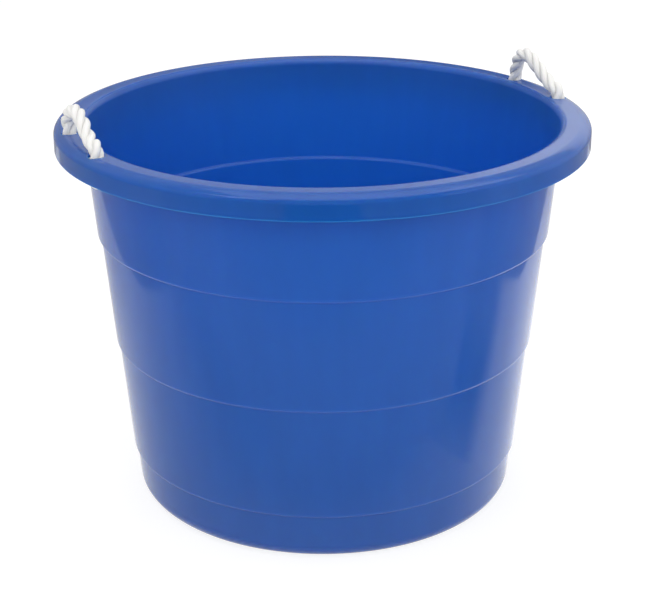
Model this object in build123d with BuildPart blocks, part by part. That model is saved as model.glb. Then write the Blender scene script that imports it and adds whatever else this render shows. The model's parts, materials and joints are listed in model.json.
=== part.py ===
from build123d import *
import math
import os

# A round utility tub with two rope handles, in millimetres. The origin is the middle of the face
# that it stands on, +Z points up, and the handles stand over the rim at -X (left) and +X (right).

# Tub moulding: one sheet of plastic from the floor to the foot of the skirt
tub_height = 415.0
rim_diameter = 560.0
rim_overhang = 29.0
wall = 2.5
draft_angle = 5.1
skirt_height = 24.0
lip_round = 7.0
crown_round = 18.5
crown_turn = 36.0
rim_round = 6.1

# Steps in the wall, by the height of each inner corner and how far the wall jumps inwards there
upper_step_height = 295.5
upper_step_depth = 3.3
middle_step_height = 175.0
middle_step_depth = 2.4
lower_step_height = 51.5
lower_step_depth = 2.7
step_round_height = 4.0

# Foot: a round toe, and a panel raised inside the ring that the tub stands on
toe_radius = 17.0
foot_panel_diameter = 300.0
foot_panel_rise = 3.0
foot_panel_slope_width = 8.0

# Rope handles: three-strand rope through two holes of the rim, with a stopper knot under each hole
rope_diameter = 15.0
rope_hole_clearance = 1.0
rope_clearance = 0.3
handle_span = 92.0
handle_pull = 3.0
knot_length = 26.0
knot_width = 34.0
knot_end_round = 9.0
knot_round_limit = 0.9
knot_clearance = 0.5

# Lean of each loop towards -X from upright, and its route by hand: places along the handle (+Y) and
# heights above the line that it bends on, between its two ends, which lie over the holes
left_loop_lean = 3.5
left_loop_route = [(-37.0, 5.2), (-20.0, 14.2), (-2.0, 22.3), (14.0, 25.0), (29.5, 21.8), (40.5, 12.5)]
right_loop_lean = 12.0
right_loop_route = [(-37.0, 5.0), (-19.0, 15.5), (0.0, 27.0), (19.0, 28.0), (33.5, 17.5), (42.0, 7.5)]
route_round_share = 0.45

# Places that follow from those sizes
wall_top_radius = rim_diameter / 2 - rim_overhang
skirt_inner_radius = rim_diameter / 2 - wall
flange_underside = tub_height - wall
skirt_foot = tub_height - skirt_height
crown_sine = math.sin(math.radians(crown_turn))
crown_width = crown_sine * (crown_round - wall) + (1 - crown_sine) * (rim_round - wall)
crown_start = (skirt_inner_radius - crown_width, flange_underside)
wall_slope = math.tan(math.radians(draft_angle))
rope_radius = rope_diameter / 2
hole_circle_radius = (wall_top_radius + skirt_inner_radius) / 2
hole_reach = math.sqrt(hole_circle_radius**2 - (handle_span / 2) ** 2)
rope_end_top = tub_height + rope_clearance
bend_height = rope_end_top + rope_clearance + rope_radius
knot_top = flange_underside - knot_clearance - handle_pull
knot_depth = skirt_inner_radius - wall_top_radius - 2 * knot_clearance
knot_tightest_radius = min(knot_depth, knot_width) ** 2 / (2 * max(knot_depth, knot_width))
knot_round = min(knot_end_round, knot_round_limit * knot_tightest_radius)

# The steps from the lowest to the highest
steps = [
    (lower_step_height, lower_step_depth),
    (middle_step_height, middle_step_depth),
    (upper_step_height, upper_step_depth),
]


# A point on the outside of the wall, with these steps between it and the rim
def wall_point(height, steps_above):
    stepped_in = sum(depth for _, depth in steps_above)
    return (wall_top_radius - wall_slope * (tub_height - height) - stepped_in, height)


# The moulding: its outer and lower skin is one line from the floor's middle to the skirt's foot,
# with the sheet of plastic on the inner and upper side of that line
with BuildPart() as tub_shell:
    with BuildSketch(Plane.XZ):
        with BuildLine():
            band_foot = wall_point(toe_radius, steps)
            toe_foot = (band_foot[0] - toe_radius, 0)
            Polyline(
                (0, foot_panel_rise),
                (foot_panel_diameter / 2 - foot_panel_slope_width, foot_panel_rise),
                (foot_panel_diameter / 2, 0),
                toe_foot,
            )
            TangentArc(toe_foot, band_foot, tangent=(1, 0))
            for index, (step_height, _) in enumerate(steps):
                corner = wall_point(step_height, steps[index:])
                round_top = wall_point(step_height + step_round_height, steps[index + 1 :])
                Line(band_foot, corner)
                TangentArc(round_top, corner, tangent=(-wall_slope, -1))
                band_foot = round_top
            FilletPolyline(band_foot, wall_point(flange_underside, []), crown_start, radius=lip_round - wall)
            crown = JernArc(crown_start, (1, 0), crown_round - wall, -crown_turn)
            nose = JernArc(crown @ 1, crown % 1, rim_round - wall, crown_turn - 90)
            Line(nose @ 1, (skirt_inner_radius, skirt_foot))
            offset(amount=wall, side=Side.LEFT)
        make_face()
    revolve(axis=Axis.Z)
    with Locations(Plane.XY.offset(tub_height)):
        with GridLocations(2 * hole_reach, handle_span, 2, 2):
            Hole(rope_radius + rope_hole_clearance, depth=2 * wall)


# The radius of a route's bend at a point: as large as the shorter run beside it allows
def bend_radius(before, point, after):
    run_in = Vector(*point) - Vector(*before)
    run_out = Vector(*after) - Vector(*point)
    half_turn = math.radians(run_in.get_angle(run_out)) / 2
    return route_round_share * min(run_in.length, run_out.length) / math.tan(half_turn)


# A loop of rope over the rim, with a ball at each end on the line that the loop bends on
def make_rope_loop(reach, lean, inner_route):
    route = [(-handle_span / 2, 0), *inner_route, (handle_span / 2, 0)]
    radii = [bend_radius(*route[i - 1 : i + 2]) for i in range(1, len(route) - 1)]
    print("bend radii", [round(radius, 1) for radius in radii])
    lean_turn = math.radians(lean)
    loop_plane = Plane(
        origin=(reach, 0, bend_height),
        x_dir=(0, 1, 0),
        z_dir=(math.cos(lean_turn), 0, math.sin(lean_turn)),
    )
    with BuildPart() as loop:
        with BuildLine(loop_plane) as path:
            FilletPolyline(*route, radius=radii)
        with BuildSketch(Plane(origin=path.line @ 0, z_dir=path.line % 0)):
            Circle(rope_radius)
        sweep(path=path.line)
        with Locations(path.line @ 0, path.line @ 1):
            Sphere(rope_radius)
    print("rope length", round(path.wires()[0].length, 1))
    return loop


# The straight end of a rope from its knot up through the rim
def make_rope_end(reach, side):
    with BuildPart() as rope_end:
        with BuildSketch(Plane(origin=(reach, side, knot_top))):
            Circle(rope_radius)
        extrude(amount=rope_end_top - knot_top)
    return rope_end


# A stopper knot in the channel between the wall and the skirt, which it nearly fills
def make_knot(reach, side):
    with BuildPart() as knot:
        with BuildSketch(Plane(origin=(reach, side, knot_top), x_dir=(reach, side, 0))):
            Ellipse(knot_depth / 2, knot_width / 2)
        extrude(amount=-knot_length)
        fillet(knot.edges().filter_by(GeomType.ELLIPSE), knot_round)
    return knot


pieces = {"tub_shell": tub_shell}
for handle, reach, lean, inner_route in [
    ("left", -hole_reach, left_loop_lean, left_loop_route),
    ("right", hole_reach, right_loop_lean, right_loop_route),
]:
    pieces[f"{handle}_rope_loop"] = make_rope_loop(reach, lean, inner_route)
    for place, side in [("front", -handle_span / 2), ("back", handle_span / 2)]:
        pieces[f"{handle}_{place}_rope_end"] = make_rope_end(reach, side)
        pieces[f"{handle}_{place}_knot"] = make_knot(reach, side)

os.makedirs("parts", exist_ok=True)
for label, piece in pieces.items():
    piece.part.label = label
    export_step(piece.part, f"parts/{label}.step")
print("bend line at x", round(hole_reach, 3), "z", round(bend_height, 3))
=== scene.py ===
import json
import math

import bmesh
import bpy
from bpy.props import FloatProperty, FloatVectorProperty, IntProperty, PointerProperty
from mathutils import Matrix, Quaternion, Vector
from mathutils.kdtree import KDTree


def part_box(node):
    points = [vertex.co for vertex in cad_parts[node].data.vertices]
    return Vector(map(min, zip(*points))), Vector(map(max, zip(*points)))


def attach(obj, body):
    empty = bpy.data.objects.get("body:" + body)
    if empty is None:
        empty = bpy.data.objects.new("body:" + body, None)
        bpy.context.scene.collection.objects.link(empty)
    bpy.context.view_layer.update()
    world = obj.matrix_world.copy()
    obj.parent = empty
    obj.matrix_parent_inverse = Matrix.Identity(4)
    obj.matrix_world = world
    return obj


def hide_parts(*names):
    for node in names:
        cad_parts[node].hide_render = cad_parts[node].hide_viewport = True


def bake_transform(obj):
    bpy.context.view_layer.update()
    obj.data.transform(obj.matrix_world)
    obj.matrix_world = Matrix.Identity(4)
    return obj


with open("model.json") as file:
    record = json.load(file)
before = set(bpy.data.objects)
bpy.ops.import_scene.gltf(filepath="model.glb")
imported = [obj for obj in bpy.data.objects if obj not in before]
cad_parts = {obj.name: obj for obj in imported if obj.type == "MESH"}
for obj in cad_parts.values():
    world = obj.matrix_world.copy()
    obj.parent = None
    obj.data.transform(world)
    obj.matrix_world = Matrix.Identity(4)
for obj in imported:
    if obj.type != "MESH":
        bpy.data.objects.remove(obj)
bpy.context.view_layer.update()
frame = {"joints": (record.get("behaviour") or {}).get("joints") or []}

bl_info = {
    "name": "Utility Tub",
    "version": (1, 0, 0),
    "blender": (4, 5, 0),
    "location": "View3D > Sidebar > Utility Tub",
    "description": "Builds a round plastic utility tub with two rope handles around its packed frame",
    "category": "Object",
}

# Places that come from the frame, in metres
tub_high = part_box("tub_shell")[1]
knot_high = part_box("right_front_knot")[1]
joints = {joint["name"]: joint for joint in frame["joints"]}
handle_reach, _, bend_height = joints["right_handle_swing"]["pos_m"]

# Routes of the two ropes, over the line that they bend on: places along the handle (+Y) and
# heights above that line. Each rope leans from upright by its own angle, towards -X.
handles = {
    "left": {
        "reach": -handle_reach,
        "lean": math.radians(3.5),
        "route": [
            (-0.0460, -0.0050), (-0.0436, 0.0002), (-0.0345, 0.0004), (-0.0245, 0.0022),
            (-0.0138, 0.0090), (-0.0042, 0.0165), (0.0070, 0.0218), (0.0220, 0.0208),
            (0.0390, 0.0138), (0.0488, 0.0040), (0.0460, -0.0050),
        ],
    },
    "right": {
        "reach": handle_reach,
        "lean": math.radians(12.0),
        "route": [
            (-0.0460, -0.0050), (-0.0432, 0.0004), (-0.0340, 0.0012), (-0.0220, 0.0080),
            (-0.0095, 0.0163), (0.0030, 0.0252), (0.0130, 0.0286), (0.0245, 0.0256),
            (0.0345, 0.0165), (0.0415, 0.0040), (0.0460, -0.0050),
        ],
    },
}

# Route of a stopper knot, from the rope's way in at its top to the tail: places along the rim,
# heights over the knot's middle, and places outwards across the rim's channel
knot_route = [
    (0.0000, 0.0138, 0.0000), (0.0011, 0.0101, 0.0017), (0.0032, 0.0075, 0.0042),
    (0.0053, 0.0048, 0.0060), (0.0037, -0.0028, 0.0000), (-0.0043, -0.0075, -0.0060),
    (-0.0111, -0.0059, 0.0000), (-0.0096, -0.0007, 0.0060), (0.0000, 0.0021, 0.0000),
    (0.0096, -0.0007, -0.0060), (0.0111, -0.0059, 0.0000), (0.0043, -0.0075, 0.0060),
    (-0.0037, -0.0028, 0.0000), (-0.0053, 0.0048, -0.0060), (-0.0024, 0.0073, -0.0070),
    (0.0044, 0.0068, -0.0072),
]

# Height that the softboxes point at
lamp_aim_height = 0.2

# Softboxes of the studio: place (to the camera's right, forwards, up), side and power in watts
studio_lamps = [
    ("front_softbox", (0.0, -2.2, 1.4), 1.3, 12.0),
    ("left_softbox", (-1.5, -1.6, 1.4), 1.3, 7.0),
    ("right_softbox", (1.5, -1.6, 1.4), 1.3, 8.0),
    ("left_side_softbox", (-1.7, 0.2, 2.2), 1.3, 6.0),
    ("right_side_softbox", (2.3, 0.0, 1.2), 1.3, 8.0),
    ("back_softbox", (0.0, 2.3, 1.5), 1.3, 12.0),
    ("top_softbox", (0.0, 0.0, 2.4), 1.6, 8.5),
]

# Cards that only the gloss mirrors, as painted reflections: rows of two corners (right, forward, up)
# and their glow, for a room with white table tops beside the tub, a dark place where the camera stands,
# a white panel and a dark strip behind, and lamps overhead. Their dimmer rows in front of the tub are
# painted shade of the floor in the tub's shadow, and a dark strip before the right table's front edge
# is a painted shadow. Cards on the floor lie a little over each other.
studio_cards = {
    "floor_card": [
        ((-4.0, -4.0, 0.0002), (4.0, -4.0, 0.0002), 0.25),
        ((-4.0, -1.25, 0.0002), (4.0, -1.25, 0.0002), 0.30),
        ((-4.0, -0.68, 0.0002), (4.0, -0.68, 0.0002), 0.48),
        ((-4.0, -0.60, 0.0002), (4.0, -0.60, 0.0002), 0.57),
        ((-4.0, -0.30, 0.0002), (4.0, -0.30, 0.0002), 0.57),
        ((-4.0, -0.20, 0.0002), (4.0, -0.20, 0.0002), 0.45),
        ((-4.0, 2.5, 0.0002), (4.0, 2.5, 0.0002), 0.40),
    ],
    "dark_card": [
        ((-0.36, -1.90, 0.0004), (0.36, -1.90, 0.0004), 0.06),
        ((-0.36, -1.15, 0.0004), (0.36, -1.15, 0.0004), 0.06),
    ],
    "left_table_card": [
        ((-0.69, -0.40, 0.0004), (-0.16, -0.40, 0.0004), 0.48),
        ((-0.69, -0.30, 0.0004), (-0.16, -0.30, 0.0004), 0.56),
        ((-0.70, -0.18, 0.0004), (-0.16, -0.18, 0.0004), 0.76),
        ((-0.71, 0.04, 0.0004), (-0.05, 0.04, 0.0004), 0.93),
        ((-0.75, 0.20, 0.0004), (-0.05, 0.20, 0.0004), 0.93),
        ((-0.80, 0.40, 0.0004), (-0.05, 0.40, 0.0004), 0.78),
        ((-1.00, 1.20, 0.0004), (-0.05, 1.20, 0.0004), 0.75),
    ],
    "right_table_card": [
        ((0.28, -0.17, 0.0006), (0.74, -0.02, 0.0006), 0.45),
        ((0.27, -0.12, 0.0006), (0.73, 0.05, 0.0006), 1.05),
        ((0.20, 0.05, 0.0006), (0.69, 0.22, 0.0006), 1.28),
        ((0.10, 0.33, 0.0006), (0.70, 0.36, 0.0006), 1.30),
        ((0.10, 0.70, 0.0006), (0.80, 0.70, 0.0006), 0.92),
        ((0.10, 1.20, 0.0006), (0.90, 1.20, 0.0006), 0.85),
    ],
    # Painted shadow: a dark strip on the floor before the right table's front edge
    "table_edge_shadow_card": [
        ((0.28, -0.25, 0.0004), (0.28, -0.15, 0.0004), 0.62),
        ((0.36, -0.25, 0.0004), (0.36, -0.12, 0.0004), 0.40),
        ((0.44, -0.25, 0.0004), (0.44, -0.09, 0.0004), 0.30),
        ((0.50, -0.25, 0.0004), (0.50, -0.06, 0.0004), 0.30),
        ((0.64, -0.25, 0.0004), (0.64, 0.00, 0.0004), 0.45),
    ],
    "foot_card": [
        ((-0.16, -0.31, 0.0004), (0.28, -0.31, 0.0004), 0.58),
        ((-0.16, -0.25, 0.0004), (0.28, -0.25, 0.0004), 0.75),
        ((-0.16, -0.17, 0.0004), (0.28, -0.17, 0.0004), 0.80),
        ((-0.16, -0.12, 0.0004), (0.28, -0.12, 0.0004), 1.00),
        ((0.00, 0.10, 0.0004), (0.30, 0.10, 0.0004), 1.15),
    ],
    "back_left_card": [
        ((-2.2, 2.2, 0.0), (-0.65, 2.2, 0.0), 0.45),
        ((-2.2, 2.2, 1.6), (-0.65, 2.2, 1.6), 0.42),
        ((-2.2, 2.2, 2.6), (-0.65, 2.2, 2.6), 0.58),
    ],
    "back_wall_card": [
        ((-0.65, 2.2, 0.0), (3.0, 2.2, 0.0), 0.55),
        ((-0.65, 2.2, 0.80), (3.0, 2.2, 0.80), 0.40),
        ((-0.65, 2.2, 0.94), (3.0, 2.2, 0.94), 0.28),
        ((-0.65, 2.2, 1.06), (3.0, 2.2, 1.06), 0.65),
        ((-0.65, 2.2, 1.22), (3.0, 2.2, 1.22), 0.65),
        ((-0.65, 2.2, 1.40), (3.0, 2.2, 1.40), 0.52),
        ((-0.65, 2.2, 2.60), (3.0, 2.2, 2.60), 0.68),
    ],
    "panel_card": [
        ((0.10, 2.15, 0.98), (0.10, 2.15, 1.24), 0.65),
        ((0.36, 2.15, 0.98), (0.36, 2.15, 1.40), 0.95),
        ((0.53, 2.15, 0.98), (0.53, 2.15, 1.60), 1.20),
        ((1.35, 2.15, 0.90), (1.35, 2.15, 1.60), 1.10),
        ((2.40, 2.15, 0.80), (2.40, 2.15, 1.70), 0.80),
    ],
    "right_back_card": [
        ((0.55, 2.16, 0.30), (3.0, 2.16, 0.30), 0.68),
        ((0.55, 2.16, 0.98), (3.0, 2.16, 0.98), 1.05),
    ],
    "shade_card": [
        ((-0.05, 2.14, 0.70), (-0.05, 2.14, 0.97), 0.28),
        ((0.15, 2.14, 0.70), (0.15, 2.14, 0.97), 0.17),
        ((0.50, 2.14, 0.70), (0.50, 2.14, 0.97), 0.14),
    ],
    "left_wall_card": [
        ((-2.2, -2.6, 0.0), (-2.2, 2.2, 0.0), 0.34),
        ((-2.2, -2.6, 1.0), (-2.2, 2.2, 1.0), 0.47),
        ((-2.2, -2.6, 2.6), (-2.2, 2.2, 2.6), 0.68),
    ],
    "right_wall_card": [
        ((3.0, -2.6, 0.0), (3.0, 2.2, 0.0), 0.62),
        ((3.0, -2.6, 2.6), (3.0, 2.2, 2.6), 0.90),
    ],
    "front_wall_card": [
        ((-2.2, -2.6, 0.0), (3.0, -2.6, 0.0), 0.30),
        ((-2.2, -2.6, 0.9), (3.0, -2.6, 0.9), 0.32),
        ((-2.2, -2.6, 2.6), (3.0, -2.6, 2.6), 0.30),
    ],
    "ceiling_card": [
        ((-2.2, -2.6, 2.6), (3.0, -2.6, 2.6), 0.30),
        ((-2.2, 2.2, 2.6), (3.0, 2.2, 2.6), 0.65),
    ],
    "top_lamp_card": [
        ((-0.75, -1.70, 2.58), (1.20, -1.70, 2.58), 0.40),
        ((-0.75, -0.70, 2.58), (1.20, -0.70, 2.58), 1.30),
        ((-0.75, 0.30, 2.58), (1.20, 0.30, 2.58), 1.50),
        ((-0.75, 1.00, 2.58), (1.20, 1.00, 2.58), 1.20),
        ((-0.75, 1.65, 2.58), (1.20, 1.65, 2.58), 0.80),
    ],
    "right_lamp_card": [
        ((1.00, -0.60, 2.57), (2.60, -0.60, 2.57), 1.40),
        ((1.00, 0.10, 2.57), (2.60, 0.10, 2.57), 1.85),
        ((1.00, 0.70, 2.57), (2.60, 0.70, 2.57), 1.85),
        ((1.00, 1.20, 2.57), (2.60, 1.20, 2.57), 1.20),
    ],
    "left_lamp_card": [
        ((-1.60, -1.75, 2.57), (-0.75, -1.75, 2.57), 1.95),
        ((-1.60, -0.40, 2.57), (-0.75, -0.40, 2.57), 1.95),
    ],
}


class TubSizes(bpy.types.PropertyGroup):
    """Sizes of the tub's moulding"""

    rim_radius: FloatProperty(
        name="Rim radius",
        description="Radius of the rim's outer edge",
        default=tub_high.x,
        unit="LENGTH",
    )
    height: FloatProperty(
        name="Height",
        description="Height of the rim's top over the floor",
        default=tub_high.z,
        unit="LENGTH",
    )
    wall: FloatProperty(
        name="Wall", description="Thickness of the plastic", default=0.0025, unit="LENGTH"
    )
    rim_overhang: FloatProperty(
        name="Rim overhang",
        description="From the wall's top to the rim's outer edge",
        default=0.029,
        unit="LENGTH",
    )
    draft_angle: FloatProperty(
        name="Draft",
        description="Angle of the wall from upright",
        default=math.radians(5.1),
        subtype="ANGLE",
    )
    skirt_height: FloatProperty(
        name="Skirt height",
        description="Height of the rim's turned-down skirt",
        default=0.024,
        unit="LENGTH",
    )
    lip_round: FloatProperty(
        name="Lip round",
        description="Radius from the inner wall over to the rim's top",
        default=0.007,
        unit="LENGTH",
    )
    crown_round: FloatProperty(
        name="Crown round",
        description="Radius of the rim's top where it starts to fall",
        default=0.0185,
        unit="LENGTH",
    )
    crown_turn: FloatProperty(
        name="Crown turn",
        description="Angle that the crown round turns",
        default=math.radians(36),
        subtype="ANGLE",
    )
    rim_round: FloatProperty(
        name="Rim round",
        description="Radius from the crown over to the skirt",
        default=0.0061,
        unit="LENGTH",
    )
    step_heights: FloatVectorProperty(
        name="Step heights",
        description="Height of the inner corner of each step in the wall",
        default=(0.0515, 0.175, 0.2955),
        unit="LENGTH",
    )
    step_depths: FloatVectorProperty(
        name="Step depths",
        description="How far the wall jumps inwards at each step",
        default=(0.0027, 0.0024, 0.0033),
        unit="LENGTH",
    )
    step_round_height: FloatProperty(
        name="Step round",
        description="Height of the round over each step",
        default=0.004,
        unit="LENGTH",
    )
    step_corner: FloatProperty(
        name="Step corner",
        description="Run of the hollow corner under each step",
        default=0.0009,
        unit="LENGTH",
    )
    toe_radius: FloatProperty(
        name="Toe radius",
        description="Radius from the wall to the foot",
        default=0.017,
        unit="LENGTH",
    )
    foot_panel_radius: FloatProperty(
        name="Foot panel",
        description="Radius of the panel inside the foot ring",
        default=0.15,
        unit="LENGTH",
    )
    foot_panel_rise: FloatProperty(
        name="Panel rise",
        description="Height of the panel over the floor",
        default=0.003,
        unit="LENGTH",
    )
    foot_panel_slope: FloatProperty(
        name="Panel slope",
        description="Width of the slope round the panel",
        default=0.008,
        unit="LENGTH",
    )
    rope_hole_radius: FloatProperty(
        name="Rope hole",
        description="Radius of the holes for the ropes",
        default=0.0085,
        unit="LENGTH",
    )
    edge_round: FloatProperty(
        name="Edge round",
        description="Round on the skirt's foot and the rope holes",
        default=0.0011,
        unit="LENGTH",
    )
    sides: IntProperty(
        name="Sides",
        description="Faces round the tub",
        default=288,
        subtype="UNSIGNED",
    )


class RopeSizes(bpy.types.PropertyGroup):
    """Sizes of the three-strand rope"""

    diameter: FloatProperty(
        name="Diameter", description="Diameter over the three strands", default=0.015, unit="LENGTH"
    )
    lay_length: FloatProperty(
        name="Lay length",
        description="Length in which a strand goes once round",
        default=0.049,
        unit="LENGTH",
    )
    yarns: IntProperty(
        name="Yarns",
        description="Yarns round each strand",
        default=11,
        subtype="UNSIGNED",
    )
    yarn_depth: FloatProperty(
        name="Yarn depth",
        description="Depth of the grooves between yarns",
        default=0.00016,
        unit="LENGTH",
    )
    knot_diameter: FloatProperty(
        name="Knot rope",
        description="Diameter of the rope where its knot is pulled tight",
        default=0.011,
        unit="LENGTH",
    )


class TubFinish(bpy.types.PropertyGroup):
    """Colours and gloss of the plastic and the rope"""

    plastic: FloatVectorProperty(
        name="Plastic",
        description="Colour of the plastic",
        default=(0.008, 0.093, 0.372),
        subtype="COLOR",
    )
    # Painted highlight: a paler colour along the steps' rounded edges, in place of the light they catch
    plastic_step_highlight: FloatVectorProperty(
        name="Step highlight",
        description="Paler colour on the steps",
        default=(0.011, 0.103, 0.395),
        subtype="COLOR",
    )
    plastic_roughness: FloatProperty(
        name="Plastic roughness",
        description="Roughness of the plastic's gloss",
        default=0.08,
        subtype="FACTOR",
    )
    inside_roughness: FloatProperty(
        name="Inside roughness",
        description="Roughness on the tub's inner side",
        default=0.42,
        subtype="FACTOR",
    )
    plastic_depth: FloatProperty(
        name="Plastic depth",
        description="Share of the light that scatters inside the plastic",
        default=1.0,
        subtype="FACTOR",
    )
    plastic_reach: FloatProperty(
        name="Plastic reach",
        description="How far light travels inside the plastic",
        default=0.0142,
        unit="LENGTH",
    )
    plastic_spread: FloatVectorProperty(
        name="Plastic spread",
        description="Share of that reach for red, green and blue light",
        default=(0.3, 0.6, 1.0),
        subtype="COLOR",
    )
    streak_strength: FloatProperty(
        name="Streaks",
        description="How much paler and darker the flow streaks are",
        default=0.04,
        subtype="FACTOR",
    )
    rope: FloatVectorProperty(
        name="Rope", description="Colour of the rope", default=(0.95, 0.94, 0.91), subtype="COLOR"
    )
    # Painted shade: the rope's colour deep between the strands, where shade falls
    rope_shade: FloatVectorProperty(
        name="Rope shade",
        description="Colour deep between the strands",
        default=(0.92, 0.91, 0.88),
        subtype="COLOR",
    )
    rope_roughness: FloatProperty(
        name="Rope roughness",
        description="Roughness of the yarn",
        default=0.55,
        subtype="FACTOR",
    )
    rope_depth: FloatProperty(
        name="Rope depth",
        description="Share of the light that scatters inside the rope",
        default=0.8,
        subtype="FACTOR",
    )
    rope_reach: FloatProperty(
        name="Rope reach",
        description="How far light travels inside the rope",
        default=0.004,
        unit="LENGTH",
    )
    rope_spread: FloatVectorProperty(
        name="Rope spread",
        description="Share of that reach for red, green and blue light",
        default=(1.0, 1.0, 1.0),
        subtype="COLOR",
    )


class TubStage(bpy.types.PropertyGroup):
    """Camera and light of the studio"""

    lens: FloatProperty(
        name="Lens",
        description="Focal length in millimetres",
        default=91.363,
        unit="CAMERA",
    )
    sensor_width: FloatProperty(
        name="Sensor width",
        description="Width of the camera's sensor in millimetres",
        default=36.0,
        unit="CAMERA",
    )
    distance: FloatProperty(
        name="Distance",
        description="From the camera to the point that it looks at",
        default=1.798912,
        unit="LENGTH",
    )
    azimuth: FloatProperty(
        name="Azimuth",
        description="Turn of the camera round the tub",
        default=math.radians(-24.29),
        subtype="ANGLE",
    )
    elevation: FloatProperty(
        name="Elevation",
        description="Camera's angle over the horizon",
        default=math.radians(21.458),
        subtype="ANGLE",
    )
    roll: FloatProperty(
        name="Roll",
        description="Turn of the camera about its view",
        default=math.radians(-0.318),
        subtype="ANGLE",
    )
    aim_right: FloatProperty(
        name="Aim right",
        description="Point looked at, to the right of the tub's axis",
        default=0.00004,
        unit="LENGTH",
    )
    aim_height: FloatProperty(
        name="Aim height",
        description="Height of the point looked at",
        default=0.209265,
        unit="LENGTH",
    )
    floor_radius: FloatProperty(
        name="Floor radius",
        description="Radius of the studio's round floor",
        default=8.0,
        unit="LENGTH",
    )
    floor_bounce: FloatProperty(
        name="Floor bounce",
        description="Share of the light that the floor throws back on the tub",
        default=0.8,
        subtype="FACTOR",
    )
    floor_glow: FloatProperty(
        name="Floor glow",
        description="Plain white in the floor that is seen",
        default=0.8155,
        subtype="FACTOR",
    )
    floor_shading: FloatProperty(
        name="Floor shading",
        description="Lit part of the floor that is seen, up to white, which keeps the shadow",
        default=0.285,
        subtype="FACTOR",
    )
    ambient: FloatProperty(
        name="Ambient",
        description="Strength of the soft light all round",
        default=0.54,
        subtype="FACTOR",
    )


def link(name, data):
    """A new object of that name in the scene, at the origin."""
    thing = bpy.data.objects.new(name, data)
    bpy.context.scene.collection.objects.link(thing)
    return thing


def remove(thing):
    """Deletes an object that was only a help, and its data."""
    data = thing.data
    bpy.data.objects.remove(thing)
    if isinstance(data, bpy.types.Curve):
        bpy.data.curves.remove(data)
    else:
        bpy.data.meshes.remove(data)


def settled_mesh(thing):
    """The object's mesh with its modifiers and bevels worked in."""
    bpy.context.view_layer.update()
    return bpy.data.meshes.new_from_object(thing.evaluated_get(bpy.context.evaluated_depsgraph_get()))


def new_material(name):
    """A material with an empty node tree but for its shader, with helpers to add and link nodes."""
    material = bpy.data.materials.new(name)
    material.use_nodes = True
    tree = material.node_tree
    shader = tree.nodes["Principled BSDF"]

    def add(kind, **settings):
        node = tree.nodes.new(kind)
        for key, value in settings.items():
            setattr(node, key, value)
        return node

    return material, shader, add, tree.links.new


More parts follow.
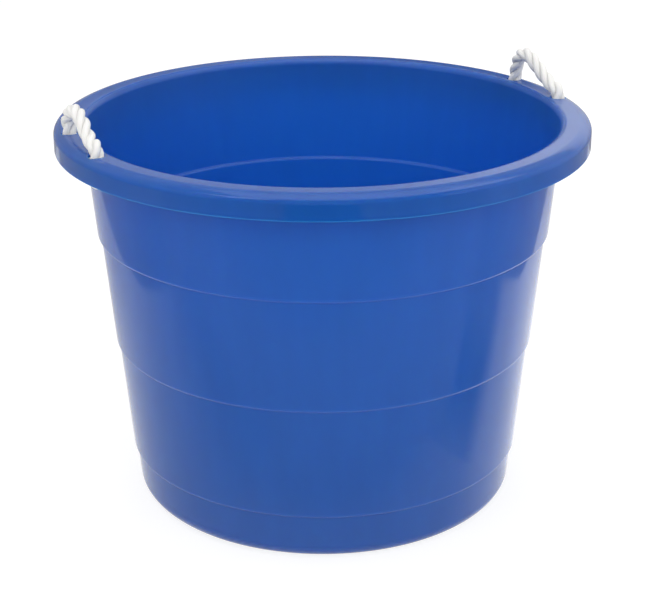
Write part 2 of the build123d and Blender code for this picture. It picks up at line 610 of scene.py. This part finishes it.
def tub_plastic_material(finish, tub):
    """Glossy moulded plastic with flow streaks, painted highlight on its steps, duller on its inner
    side.
    """
    streaks_per_radian = 9.0
    step_highlight_reach = 0.6 * tub.step_round_height
    cloud_scale = 34.0
    smoothest = finish.plastic_roughness - 0.02
    roughest = finish.plastic_roughness + 0.03
    grain_scale = 420.0
    grain_strength = 0.02
    grain_depth = 0.0005
    material, shader, add, join = new_material("tub_plastic")
    place = add("ShaderNodeTexCoord")
    axes = add("ShaderNodeSeparateXYZ")
    join(place.outputs["Object"], axes.inputs[0])
    turn = add("ShaderNodeMath", operation="ARCTAN2")
    join(axes.outputs["Y"], turn.inputs[0])
    join(axes.outputs["X"], turn.inputs[1])
    unrolled = add("ShaderNodeCombineXYZ")
    join(turn.outputs[0], unrolled.inputs["X"])
    join(axes.outputs["Z"], unrolled.inputs["Z"])

    streaks = add("ShaderNodeTexNoise")
    streaks.inputs["Scale"].default_value = streaks_per_radian
    streaks.inputs["Detail"].default_value = 3.0
    join(unrolled.outputs[0], streaks.inputs["Vector"])
    tint = add("ShaderNodeValToRGB")
    dark, light = tint.color_ramp.elements
    dark.position = 0.3
    light.position = 0.7
    dark.color = (*[(1 - finish.streak_strength) * part for part in finish.plastic], 1)
    light.color = (*[(1 + finish.streak_strength) * part for part in finish.plastic], 1)
    join(streaks.outputs["Fac"], tint.inputs[0])
    on_step = None
    # Mask of the painted highlight along each step
    for height in tub.step_heights:
        near = add("ShaderNodeMath", operation="COMPARE")
        near.inputs[1].default_value = height + tub.step_round_height / 2
        near.inputs[2].default_value = step_highlight_reach
        join(axes.outputs["Z"], near.inputs[0])
        if on_step:
            either = add("ShaderNodeMath", operation="MAXIMUM")
            join(on_step, either.inputs[0])
            join(near.outputs[0], either.inputs[1])
            on_step = either.outputs[0]
        else:
            on_step = near.outputs[0]
    # Painted highlight: the steps take the paler colour
    step_highlight = add("ShaderNodeMix", data_type="RGBA")
    step_highlight.inputs["B"].default_value = (*finish.plastic_step_highlight, 1)
    join(on_step, step_highlight.inputs["Factor"])
    join(tint.outputs["Color"], step_highlight.inputs["A"])
    join(step_highlight.outputs["Result"], shader.inputs["Base Color"])

    cloud = add("ShaderNodeTexNoise")
    cloud.inputs["Scale"].default_value = cloud_scale
    cloud.inputs["Detail"].default_value = 5.0
    join(place.outputs["Object"], cloud.inputs["Vector"])
    gloss = add("ShaderNodeMapRange")
    gloss.inputs["To Min"].default_value = smoothest
    gloss.inputs["To Max"].default_value = roughest
    join(cloud.outputs["Fac"], gloss.inputs["Value"])
    inside = add("ShaderNodeAttribute", attribute_name="inside")
    duller = add("ShaderNodeMath", operation="MULTIPLY_ADD")
    duller.inputs[1].default_value = finish.inside_roughness - finish.plastic_roughness
    join(inside.outputs["Fac"], duller.inputs[0])
    join(gloss.outputs[0], duller.inputs[2])
    join(duller.outputs[0], shader.inputs["Roughness"])

    grain = add("ShaderNodeTexNoise")
    grain.inputs["Scale"].default_value = grain_scale
    grain.inputs["Detail"].default_value = 2.0
    join(place.outputs["Object"], grain.inputs["Vector"])
    bump = add("ShaderNodeBump")
    bump.inputs["Strength"].default_value = grain_strength
    bump.inputs["Distance"].default_value = grain_depth
    join(grain.outputs["Fac"], bump.inputs["Height"])
    join(bump.outputs[0], shader.inputs["Normal"])
    shader.inputs["Subsurface Weight"].default_value = finish.plastic_depth
    shader.inputs["Subsurface Radius"].default_value = finish.plastic_spread
    shader.inputs["Subsurface Scale"].default_value = finish.plastic_reach
    return material


def rope_material(finish):
    """White twisted plastic yarn with painted shade deep between the strands, and fine fibres along it.
    """
    fibres_along = 18.0
    fibres_round = 46.0
    fibre_shade = 0.18
    fibre_strength = 0.35
    fibre_depth = 0.0003
    material, shader, add, join = new_material("rope_yarn")
    # Painted shade between the strands, by how far out each point lies
    outside = add("ShaderNodeAttribute", attribute_name="outside")
    shade = add("ShaderNodeValToRGB")
    deep, proud = shade.color_ramp.elements
    deep.position = 0.35
    proud.position = 0.8
    deep.color = (*finish.rope_shade, 1)
    proud.color = (*finish.rope, 1)
    join(outside.outputs["Fac"], shade.inputs[0])

    along = add("ShaderNodeUVMap", uv_map="UVMap")
    stretch = add("ShaderNodeMapping")
    stretch.inputs["Scale"].default_value = (fibres_along, fibres_round, 1.0)
    join(along.outputs[0], stretch.inputs["Vector"])
    fibres = add("ShaderNodeTexNoise")
    fibres.inputs["Scale"].default_value = 1.0
    fibres.inputs["Detail"].default_value = 4.0
    join(stretch.outputs[0], fibres.inputs["Vector"])
    mix = add("ShaderNodeMix", data_type="RGBA", blend_type="MULTIPLY")
    mix.inputs["Factor"].default_value = fibre_shade
    join(shade.outputs["Color"], mix.inputs["A"])
    join(fibres.outputs["Color"], mix.inputs["B"])
    join(mix.outputs["Result"], shader.inputs["Base Color"])
    bump = add("ShaderNodeBump")
    bump.inputs["Strength"].default_value = fibre_strength
    bump.inputs["Distance"].default_value = fibre_depth
    join(fibres.outputs["Fac"], bump.inputs["Height"])
    join(bump.outputs[0], shader.inputs["Normal"])
    shader.inputs["Roughness"].default_value = finish.rope_roughness
    shader.inputs["Subsurface Weight"].default_value = finish.rope_depth
    shader.inputs["Subsurface Radius"].default_value = finish.rope_spread
    shader.inputs["Subsurface Scale"].default_value = finish.rope_reach
    return material


def wall_radius(tub, height, steps_above):
    """Outer radius of the wall at a height, with these steps between it and the rim."""
    top = tub.rim_radius - tub.rim_overhang
    return top - math.tan(tub.draft_angle) * (tub.height - height) - sum(steps_above)


def draw_outline(mesh, points):
    """A wire in the XZ plane through points of (radius, height), and its corners in order."""
    corners = [mesh.verts.new((points[0][0], 0, points[0][1]))]
    for radius, height in points[1:]:
        tip = bmesh.ops.extrude_vert_indiv(mesh, verts=corners[-1:])["verts"][0]
        tip.co = (radius, 0, height)
        corners.append(tip)
    return corners


def round_corner(mesh, corner, segments, radius=None, run=None):
    """Rounds a corner of the wire, by its radius or by the run that the round takes off each side."""
    if run is None:
        ways = [edge.other_vert(corner).co - corner.co for edge in corner.link_edges]
        run = radius * math.tan((math.pi - ways[0].angle(ways[1])) / 2)
    bmesh.ops.bevel(
        mesh, geom=[corner], offset=run, offset_type="OFFSET", affect="VERTICES",
        segments=segments, profile=0.5, material=-1, clamp_overlap=False,
    )


def tub_skin(tub):
    """The tub's outer and lower skin, spun from its outline, as one sheet that faces outwards."""
    panel_segments = 4
    toe_segments = 10
    step_segments = 8
    step_corner_segments = 7
    lip_segments = 12
    crown_segments = 10
    nose_segments = 10
    step_corner_room = 1.1 * tub.step_corner
    merge_distance = 1e-5
    depths = list(tub.step_depths)
    underside = tub.height - tub.wall
    skirt_radius = tub.rim_radius - tub.wall
    panel_edge = tub.foot_panel_radius
    points = [
        (0, tub.foot_panel_rise),
        (panel_edge - tub.foot_panel_slope, tub.foot_panel_rise),
        (panel_edge, 0),
        (wall_radius(tub, 0, depths), 0),
    ]
    step_runs = []
    down = Vector((-math.sin(tub.draft_angle), -math.cos(tub.draft_angle)))
    for index, height in enumerate(tub.step_heights):
        inner = Vector((wall_radius(tub, height, depths[index:]), height))
        round_top = height + tub.step_round_height
        outer = Vector((wall_radius(tub, round_top, depths[index + 1 :]), round_top))
        chord = inner - outer
        run = chord.length_squared / (2 * chord.dot(down))
        points += [tuple(inner), tuple(outer + run * down)]
        step_runs.append(run)
    crown_run = (tub.crown_round - tub.wall) * math.tan(tub.crown_turn / 2)
    nose_run = (tub.rim_round - tub.wall) * math.tan((math.pi / 2 - tub.crown_turn) / 2)
    slope = crown_run + nose_run
    points += [
        (wall_radius(tub, underside, []), underside),
        (skirt_radius - slope * math.cos(tub.crown_turn), underside),
        (skirt_radius, underside - slope * math.sin(tub.crown_turn)),
        (skirt_radius, tub.height - tub.skirt_height),
    ]

    mesh = bmesh.new()
    corners = draw_outline(mesh, points)
    _, *panel, toe = corners[:4]
    steps = corners[4:-4]
    lip, crown, nose, _ = corners[-4:]
    for corner in panel:
        round_corner(mesh, corner, panel_segments, radius=tub.foot_panel_slope)
    round_corner(mesh, toe, toe_segments, radius=tub.toe_radius)
    for inner, outer, run in zip(steps[::2], steps[1::2], step_runs):
        round_corner(mesh, outer, step_segments, run=run - step_corner_room)
        round_corner(mesh, inner, step_corner_segments, run=tub.step_corner)
    round_corner(mesh, lip, lip_segments, radius=tub.lip_round - tub.wall)
    round_corner(mesh, crown, crown_segments, run=crown_run)
    round_corner(mesh, nose, nose_segments, run=nose_run)
    bmesh.ops.spin(
        mesh, geom=mesh.verts[:] + mesh.edges[:], cent=(0, 0, 0), axis=(0, 0, 1), dvec=(0, 0, 0),
        angle=2 * math.pi, steps=tub.sides, use_merge=True, use_duplicate=False,
    )
    bmesh.ops.remove_doubles(mesh, verts=mesh.verts[:], dist=merge_distance)
    bmesh.ops.recalc_face_normals(mesh, faces=mesh.faces[:])
    mesh.faces.ensure_lookup_table()
    lowest = min(mesh.faces, key=lambda face: face.calc_center_median().z)
    if lowest.normal.z > 0:
        bmesh.ops.reverse_faces(mesh, faces=mesh.faces[:])
    skin = bpy.data.meshes.new("tub_moulding")
    mesh.to_mesh(skin)
    mesh.free()
    return skin


def rope_hole_cutters(tub):
    """Four round bars through the rim, where the ropes pass it."""
    bar_sides = 64
    bar_length = 8 * tub.wall
    mesh = bmesh.new()
    for side in ("left", "right"):
        for place in ("front", "back"):
            low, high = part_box(f"{side}_{place}_rope_end")
            middle = (low + high) / 2
            bmesh.ops.create_cone(
                mesh, cap_ends=True, cap_tris=False, segments=bar_sides, radius1=tub.rope_hole_radius,
                radius2=tub.rope_hole_radius, depth=bar_length,
                matrix=Matrix.Translation((middle.x, middle.y, tub.height - tub.wall / 2)),
            )
    bars = bpy.data.meshes.new("rope_hole_cutters")
    mesh.to_mesh(bars)
    mesh.free()
    return link("rope_hole_cutters", bars)


def mark_inside(mesh, tub):
    """Marks the tub's inner side on its mesh: nothing on the rim's top, and all of it below the lip."""
    lip_top = tub.rim_radius - tub.rim_overhang - tub.wall + tub.lip_round
    inside = mesh.attributes.new("inside", "FLOAT", "POINT")
    for vertex, mark in zip(mesh.vertices, inside.data):
        outwards = Vector((vertex.co.x, vertex.co.y, 0))
        if vertex.normal.z > vertex.normal.dot(outwards.normalized()):
            mark.value = min(max((lip_top - outwards.length) / tub.lip_round, 0), 1)


class TUB_OT_mould_tub(bpy.types.Operator):
    """Mould the tub: spin its skin, give it thickness and cut the rope holes"""

    bl_idname = "tub.mould_tub"
    bl_label = "Mould Tub"

    def execute(self, context):
        edge_angle = math.radians(60)
        crease_angle = math.radians(14)
        tub = context.scene.tub_sizes
        piece = link("tub_moulding", tub_skin(tub))
        cutters = rope_hole_cutters(tub)
        thicken = piece.modifiers.new("Wall", "SOLIDIFY")
        thicken.thickness = tub.wall
        thicken.offset = -1
        thicken.use_even_offset = True
        holes = piece.modifiers.new("Rope holes", "BOOLEAN")
        holes.operation = "DIFFERENCE"
        holes.solver = "EXACT"
        holes.object = cutters
        edges = piece.modifiers.new("Edges", "BEVEL")
        edges.width = tub.edge_round
        edges.segments = 3
        edges.limit_method = "ANGLE"
        edges.angle_limit = edge_angle
        piece.data = settled_mesh(piece)
        piece.modifiers.clear()
        remove(cutters)
        mark_inside(piece.data, tub)
        piece.data.shade_smooth()
        piece.data.set_sharp_from_angle(angle=crease_angle)
        normals = piece.modifiers.new("Normals", "WEIGHTED_NORMAL")
        normals.keep_sharp = True
        piece.data.materials.clear()
        piece.data.materials.append(tub_plastic_material(context.scene.tub_finish, tub))
        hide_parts("tub_shell")
        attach(piece, "tub")
        return {"FINISHED"}


def read_route(points):
    """Points along a smooth line with these control points, read from its spline."""
    points_per_stretch = 20
    line = bpy.data.curves.new("rope_route", "CURVE")
    line.dimensions = "3D"
    line.resolution_u = points_per_stretch
    spline = line.splines.new("NURBS")
    spline.points.add(len(points) - 1)
    for place, point in zip(spline.points, points):
        place.co = (*point, 1)
    spline.order_u = 3
    spline.use_endpoint_u = True
    carrier = link("rope_route", line)
    mesh = settled_mesh(carrier)
    places = [vertex.co.copy() for vertex in mesh.vertices]
    bpy.data.meshes.remove(mesh)
    remove(carrier)
    return places


def strand_section(radius, rope):
    """Closed outline of one strand: a ring of yarns."""
    points_per_yarn = 5
    outline = bpy.data.curves.new("strand_section", "CURVE")
    outline.dimensions = "2D"
    spline = outline.splines.new("POLY")
    spline.use_cyclic_u = True
    steps = points_per_yarn * rope.yarns
    spline.points.add(steps - 1)
    for step, point in enumerate(spline.points):
        turn = 2 * math.pi * step / steps
        groove = rope.yarn_depth * (1 - abs(math.sin(turn * rope.yarns / 2)))
        point.co = ((radius - groove) * math.cos(turn), (radius - groove) * math.sin(turn), 0, 1)
    return link("strand_section", outline)


def laid_rope(name, places, diameter, rope):
    """A rope of three strands laid along places, with how far out each point lies as an attribute."""
    strand_count = 3
    strand_radius = diameter / 4
    lay = rope.lay_length * diameter / rope.diameter
    strands = bpy.data.curves.new(name, "CURVE")
    strands.dimensions = "3D"
    strands.twist_mode = "MINIMUM"
    splines = [strands.splines.new("POLY") for _ in range(strand_count)]
    for spline in splines:
        spline.points.add(len(places) - 1)
    across = None
    travelled = 0.0
    for index, place in enumerate(places):
        ahead = places[min(index + 1, len(places) - 1)] - places[max(index - 1, 0)]
        ahead.normalize()
        if across is None:
            across = ahead.orthogonal().normalized()
        else:
            across = (across - ahead * across.dot(ahead)).normalized()
            travelled += (place - places[index - 1]).length
        for number, spline in enumerate(splines):
            turn = 2 * math.pi * (travelled / lay + number / strand_count)
            spline.points[index].co = (*(place + Quaternion(ahead, turn) @ across * strand_radius), 1)
    section = strand_section(strand_radius, rope)
    strands.bevel_mode = "OBJECT"
    strands.bevel_object = section
    strands.use_fill_caps = True
    carrier = link(name + "_strands", strands)
    mesh = settled_mesh(carrier)
    mesh.name = name
    remove(carrier)
    remove(section)

    tree = KDTree(len(places))
    for index, place in enumerate(places):
        tree.insert(place, index)
    tree.balance()
    outside = mesh.attributes.new("outside", "FLOAT", "POINT")
    for vertex, value in zip(mesh.vertices, outside.data):
        value.value = min(1.0, tree.find(vertex.co)[2] / (diameter / 2))
    mesh.shade_smooth()
    piece = link(name, mesh)
    piece.data.materials.clear()
    return piece


class TUB_OT_lay_ropes(bpy.types.Operator):
    """Lay the two rope handles through the rim, from knot to knot"""

    bl_idname = "tub.lay_ropes"
    bl_label = "Lay Ropes"

    def execute(self, context):
        rope = context.scene.rope_sizes
        material = rope_material(context.scene.tub_finish)
        for side, handle in handles.items():
            lean = Vector((-math.sin(handle["lean"]), 0, math.cos(handle["lean"])))
            origin = Vector((handle["reach"], 0, bend_height))
            over = [
                origin + Vector((0, along, 0)) + lean * max(rise, 0) + Vector((0, 0, min(rise, 0)))
                for along, rise in handle["route"]
            ]
            end_height = knot_high.z - rope.knot_diameter / 4
            front_end, back_end = [Vector((origin.x, over[end].y, end_height)) for end in (0, -1)]
            places = read_route([front_end, *over, back_end])
            piece = laid_rope(f"{side}_handle_rope", places, rope.diameter, rope)
            piece.data.materials.append(material)
            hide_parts(f"{side}_rope_loop", f"{side}_front_rope_end", f"{side}_back_rope_end")
            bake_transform(piece)
        return {"FINISHED"}


class TUB_OT_tie_knots(bpy.types.Operator):
    """Tie a stopper knot in each rope end under the rim"""

    bl_idname = "tub.tie_knots"
    bl_label = "Tie Knots"

    def execute(self, context):
        rope = context.scene.rope_sizes
        material = rope_material(context.scene.tub_finish)
        for side in ("left", "right"):
            for place in ("front", "back"):
                low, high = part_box(f"{side}_{place}_knot")
                middle = (low + high) / 2
                outwards = Vector((middle.x, middle.y, 0)).normalized()
                along = Vector((-outwards.y, outwards.x, 0))
                places = read_route([
                    middle + along * aside + Vector((0, 0, up)) + outwards * out
                    for aside, up, out in knot_route
                ])
                piece = laid_rope(f"{side}_{place}_stopper_knot", places, rope.knot_diameter, rope)
                piece.data.materials.append(material)
                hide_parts(f"{side}_{place}_knot")
                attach(piece, f"{side}_rope_ends")
        return {"FINISHED"}


def split_rays(tree, lighting, seen):
    """One shader for rays that carry light, and another for rays that show or mirror the background."""
    paths = tree.nodes.new("ShaderNodeLightPath")
    shown = paths.outputs["Is Camera Ray"]
    for ray in ("Is Glossy Ray", "Is Transmission Ray"):
        either = tree.nodes.new("ShaderNodeMath")
        either.operation = "MAXIMUM"
        tree.links.new(shown, either.inputs[0])
        tree.links.new(paths.outputs[ray], either.inputs[1])
        shown = either.outputs[0]
    mix = tree.nodes.new("ShaderNodeMixShader")
    tree.links.new(shown, mix.inputs[0])
    tree.links.new(lighting, mix.inputs[1])
    tree.links.new(seen, mix.inputs[2])
    return mix.outputs[0]


def studio_world(ambient):
    """Even soft light from all round, and plain white where the background shows."""
    world = bpy.data.worlds.new("studio")
    world.use_nodes = True
    tree = world.node_tree
    soft = tree.nodes["Background"]
    white = tree.nodes.new("ShaderNodeBackground")
    for node, strength in ((soft, ambient), (white, 1.0)):
        node.inputs["Color"].default_value = (1, 1, 1, 1)
        node.inputs["Strength"].default_value = strength
    result = split_rays(tree, soft.outputs[0], white.outputs[0])
    tree.links.new(result, tree.nodes["World Output"].inputs["Surface"])
    return world


def studio_paper_material(stage):
    """Pale paper that looks white with a faint shadow, and throws some of the light back."""
    material, shader, add, join = new_material("studio_paper")
    pale = add("ShaderNodeBsdfDiffuse")
    pale.inputs["Color"].default_value = (*[stage.floor_bounce] * 3, 1)
    shaded = add("ShaderNodeBsdfDiffuse")
    shaded.inputs["Color"].default_value = (*[stage.floor_shading] * 3, 1)
    white = add("ShaderNodeEmission")
    white.inputs["Color"].default_value = (1, 1, 1, 1)
    white.inputs["Strength"].default_value = stage.floor_glow
    seen = add("ShaderNodeAddShader")
    join(white.outputs[0], seen.inputs[0])
    join(shaded.outputs[0], seen.inputs[1])
    tree = material.node_tree
    tree.nodes.remove(shader)
    result = split_rays(tree, pale.outputs[0], seen.outputs[0])
    join(result, tree.nodes["Material Output"].inputs["Surface"])
    return material


def studio_card_material():
    """Plain glow of the studio's cards, by the attribute on them."""
    material, shader, add, join = new_material("studio_card")
    glow = add("ShaderNodeAttribute", attribute_name="glow")
    light = add("ShaderNodeEmission")
    join(glow.outputs["Fac"], light.inputs["Strength"])
    join(light.outputs[0], material.node_tree.nodes["Material Output"].inputs["Surface"])
    material.node_tree.nodes.remove(shader)
    return material


def studio_card(name, rows, turn):
    """A card that only shows in the gloss, a painted reflection: rows of two corners (right, forward,
    up) and their glow.
    """
    mesh = bmesh.new()
    glow = mesh.verts.layers.float.new("glow")
    before = None
    for first, last, strength in rows:
        row = [mesh.verts.new(turn @ Vector(corner)) for corner in (first, last)]
        for corner in row:
            corner[glow] = strength
        if before:
            mesh.faces.new((*before, *reversed(row)))
        before = row
    sheet = bpy.data.meshes.new(name)
    mesh.to_mesh(sheet)
    mesh.free()
    card = link(name, sheet)
    card.visible_camera = False
    card.visible_diffuse = False
    card.visible_transmission = False
    card.visible_shadow = False
    return card


class TUB_OT_set_stage(bpy.types.Operator):
    """Set the studio: floor, soft light, white background and the camera"""

    bl_idname = "tub.set_stage"
    bl_label = "Set Stage"

    def execute(self, context):
        floor_sides = 96
        scene = context.scene
        stage = scene.tub_stage
        scene.view_settings.view_transform = "Standard"
        scene.world = studio_world(stage.ambient)

        mesh = bmesh.new()
        bmesh.ops.create_circle(mesh, cap_ends=True, segments=floor_sides, radius=stage.floor_radius)
        ground = bpy.data.meshes.new("studio_floor")
        mesh.to_mesh(ground)
        mesh.free()
        floor = link("studio_floor", ground)
        ground.materials.append(studio_paper_material(stage))

        turn = Matrix.Rotation(stage.azimuth, 3, "Z")
        card_material = studio_card_material()
        for name, rows in studio_cards.items():
            card = studio_card(name, rows, turn)
            card.data.materials.append(card_material)
        for name, place, size, power in studio_lamps:
            lamp = bpy.data.lights.new(name, "AREA")
            lamp.shape = "SQUARE"
            lamp.size = size
            lamp.energy = power
            softbox = link(name, lamp)
            softbox.visible_glossy = False
            softbox.location = turn @ Vector(place)
            aim = Vector((0, 0, lamp_aim_height)) - softbox.location
            softbox.rotation_mode = "QUATERNION"
            softbox.rotation_quaternion = aim.to_track_quat("-Z", "Y")

        back = Vector((
            math.sin(stage.azimuth) * math.cos(stage.elevation),
            -math.cos(stage.azimuth) * math.cos(stage.elevation),
            math.sin(stage.elevation),
        ))
        right = Vector((math.cos(stage.azimuth), math.sin(stage.azimuth), 0))
        lens = bpy.data.cameras.new("camera")
        lens.sensor_width = stage.sensor_width
        lens.lens = stage.lens
        camera = link("camera", lens)
        aim = Vector((0, 0, stage.aim_height)) + right * stage.aim_right
        camera.location = aim + back * stage.distance
        camera.rotation_mode = "QUATERNION"
        level = (-back).to_track_quat("-Z", "Y")
        camera.rotation_quaternion = level @ Quaternion((0, 0, 1), stage.roll)
        scene.camera = camera
        return {"FINISHED"}


class VIEW3D_PT_utility_tub(bpy.types.Panel):
    """Buttons that build the tub's pieces and its stage"""

    bl_label = "Utility Tub"
    bl_space_type = "VIEW_3D"
    bl_region_type = "UI"
    bl_category = "Utility Tub"

    def draw(self, context):
        for group, operators in panel_rows:
            box = self.layout.box()
            settings = getattr(context.scene, group)
            for name in settings.bl_rna.properties.keys():
                if name not in ("rna_type", "name"):
                    box.prop(settings, name)
            for operator in operators:
                box.operator(operator.bl_idname)


settings_groups = {
    "tub_sizes": TubSizes,
    "rope_sizes": RopeSizes,
    "tub_finish": TubFinish,
    "tub_stage": TubStage,
}
panel_rows = [
    ("tub_sizes", [TUB_OT_mould_tub]),
    ("rope_sizes", [TUB_OT_tie_knots, TUB_OT_lay_ropes]),
    ("tub_finish", []),
    ("tub_stage", [TUB_OT_set_stage]),
]
classes = [
    *settings_groups.values(),
    TUB_OT_mould_tub,
    TUB_OT_tie_knots,
    TUB_OT_lay_ropes,
    TUB_OT_set_stage,
    VIEW3D_PT_utility_tub,
]


def register():
    """Registers the classes and hangs each group of settings on the scene."""
    for kind in classes:
        bpy.utils.register_class(kind)
    for name, kind in settings_groups.items():
        setattr(bpy.types.Scene, name, PointerProperty(type=kind))


def unregister():
    """Takes the settings and the classes away again."""
    for name in settings_groups:
        delattr(bpy.types.Scene, name)
    for kind in reversed(classes):
        bpy.utils.unregister_class(kind)


def main():
    """Builds all pieces and the stage."""
    register()
    bpy.ops.tub.mould_tub()
    bpy.ops.tub.tie_knots()
    bpy.ops.tub.lay_ropes()
    bpy.ops.tub.set_stage()


if __name__ == "__main__":
    main()
